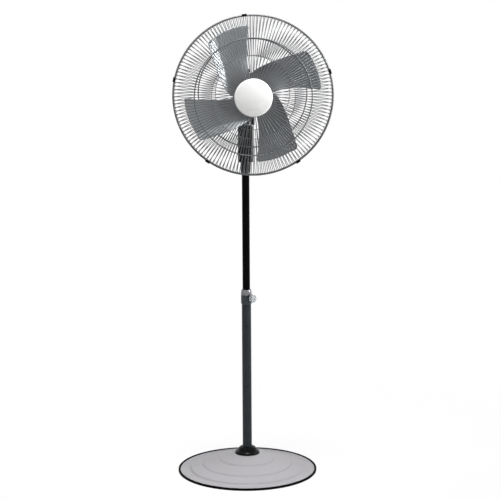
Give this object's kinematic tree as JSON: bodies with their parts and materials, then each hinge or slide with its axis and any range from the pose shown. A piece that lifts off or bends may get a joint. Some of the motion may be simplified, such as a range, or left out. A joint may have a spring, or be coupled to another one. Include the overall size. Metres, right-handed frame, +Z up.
{
  "type": "pedestal fan",
  "caption": "Free-standing pedestal fan: round stepped base, telescopic pole with clamp collar, control box, tilting and swivelling motor head, bladed rotor in a domed wire guard.",
  "frame": {"origin": "on the floor under the centre line of the pole", "axes": "+Z up along the pole; the fan blows towards -Y; +X is to the right for a person facing the fan's front"},
  "size_m": [0.525, 0.475, 1.5693],
  "materials": {
    "silver_paint": "satin silver-grey paint on pressed steel",
    "cast_weight": "rough casting, dark wash primer",
    "trim_rubber": "matt black rubber",
    "zinc_steel": "zinc-plated steel fasteners",
    "black_gloss": "glossy black moulding",
    "black_matte": "fine-grained black moulding",
    "charcoal_tube": "charcoal powder coat on steel tube",
    "black_tube": "gloss black enamel on steel tube",
    "bright_collar": "satin chrome",
    "knob_grey": "light grey moulding",
    "nylon": "natural nylon",
    "painted_steel_black": "black powder coat on steel",
    "die_cast": "die-cast alloy, dark satin",
    "ground_steel": "ground shaft steel",
    "core_steel": "laminated core steel",
    "copper_wire": "enamelled copper winding",
    "bronze": "sintered bronze",
    "guard_wire": "grey bright-plated steel wire",
    "cap_white": "glossy white moulding",
    "blade_metal": "satin grey sheet",
    "dial_metal": "satin plate with printed marks",
    "film_case": "moulded capacitor case",
    "switch_case": "moulded switch case"
  },
  "bodies": {
    "base": {"base_cover": "silver_paint", "base_weight": "cast_weight", "base_trim": "trim_rubber", "base_bolts": "zinc_steel", "base_nuts": "zinc_steel", "pole_flange": "painted_steel_black", "base_collar": "black_gloss", "lower_tube": "charcoal_tube", "tube_bush": "nylon", "clamp_collar": "black_gloss", "collar_ferrule": "bright_collar"},
    "height_clamp": {"height_knob": "knob_grey", "height_screw": "zinc_steel"},
    "column": {"upper_tube": "black_tube", "tube_end_plug": "black_matte", "neck_socket": "black_matte", "box_body": "black_matte", "box_cover": "black_matte", "box_screws": "zinc_steel", "dial_plate": "dial_metal", "speed_switch": "switch_case", "run_capacitor": "film_case", "cord_gland": "black_matte", "neck_fork": "painted_steel_black", "fork_screws": "zinc_steel", "tilt_bolt": "zinc_steel"},
    "speed_control": {"speed_knob": "black_gloss", "switch_shaft": "ground_steel"},
    "tilt_clamp": {"tilt_knob": "black_matte"},
    "bracket": {"pivot_bracket": "die_cast"},
    "head": {"pivot_shaft": "ground_steel", "motor_carrier": "die_cast", "head_screws": "zinc_steel", "motor_front_shell": "painted_steel_black", "motor_rear_shell": "painted_steel_black", "motor_screws": "zinc_steel", "stator_core": "core_steel", "stator_windings": "copper_wire", "shaft_bushes": "bronze", "gear_case": "black_matte", "gear_cover": "black_matte", "rear_guard": "guard_wire", "front_guard": "guard_wire", "guard_clips": "black_gloss", "front_cap": "cap_white", "cap_screws": "zinc_steel"},
    "fan": {"motor_shaft": "ground_steel", "rotor_core": "core_steel", "blade_hub": "die_cast", "hub_screw": "zinc_steel", "blade_1": "blade_metal", "blade_2": "blade_metal", "blade_3": "blade_metal", "blade_4": "blade_metal", "blade_rivets": "zinc_steel"},
    "reduction_wheel": {"worm_wheel": "nylon"},
    "clutch": {"clutch_shaft": "ground_steel"},
    "clutch_button": {"clutch_knob": "black_gloss"},
    "crank_gear": {"crank": "nylon"},
    "link": {"link_arm": "zinc_steel"}
  },
  "joints": [
    {"name": "height_slide", "type": "slide", "parent": "base", "child": "column", "axis": [0, 0, 1], "range_m": [-0.395, 0]},
    {"name": "height_knob_turn", "type": "hinge", "parent": "base", "child": "height_clamp", "pos_m": [0, 0, 0.607], "axis": [0.682, -0.7314, 0], "range_deg": [0, 180]},
    {"name": "speed_knob_turn", "type": "hinge", "parent": "column", "child": "speed_control", "pos_m": [0, 0.027, 1.15], "axis": [0, -1, 0], "range_deg": [0, 180]},
    {"name": "tilt_knob_turn", "type": "hinge", "parent": "column", "child": "tilt_clamp", "pos_m": [0.017, 0, 1.2075], "axis": [1, 0, 0], "range_deg": [0, 180]},
    {"name": "tilt", "type": "hinge", "parent": "column", "child": "bracket", "pos_m": [0, 0, 1.2075], "axis": [-1, 0, 0], "range_deg": [-12, 25]},
    {"name": "swivel", "type": "hinge", "parent": "bracket", "child": "head", "pos_m": [0, 0, 1.242], "axis": [0, 0, 1], "range_deg": [-35, 35]},
    {"name": "fan_spin", "type": "hinge", "parent": "head", "child": "fan", "pos_m": [0.024, 0, 1.305], "axis": [0, 1, 0], "continuous": true},
    {"name": "reduction_spin", "type": "hinge", "parent": "head", "child": "reduction_wheel", "pos_m": [0.0124, 0.064, 1.305], "axis": [0, 0, 1], "continuous": true},
    {"name": "clutch_turn", "type": "hinge", "parent": "head", "child": "clutch", "pos_m": [0.0124, 0.064, 1.305], "axis": [0, 0, 1], "range_deg": [-253, 253]},
    {"name": "clutch_press", "type": "slide", "parent": "clutch", "child": "clutch_button", "axis": [0, 0, 1], "range_m": [-0.006, 0]},
    {"name": "crank_turn", "type": "hinge", "parent": "head", "child": "crank_gear", "pos_m": [-0.00927, 0.06782, 1.263], "axis": [0, 0, 1], "range_deg": [-57, 57]},
    {"name": "link_turn", "type": "hinge", "parent": "crank_gear", "child": "link", "pos_m": [-0.02335, 0.06723, 1.246], "axis": [0, 0, 1], "range_deg": [-54, 54]}
  ],
  "couplings": [
    {"joint": "reduction_spin", "follows": "fan_spin", "ratio": 0.0625},
    {"joint": "crank_turn", "follows": "swivel", "ratio": -1.6},
    {"joint": "link_turn", "follows": "swivel", "ratio": 1.5326},
    {"joint": "clutch_turn", "follows": "swivel", "ratio": 7.2}
  ]
}
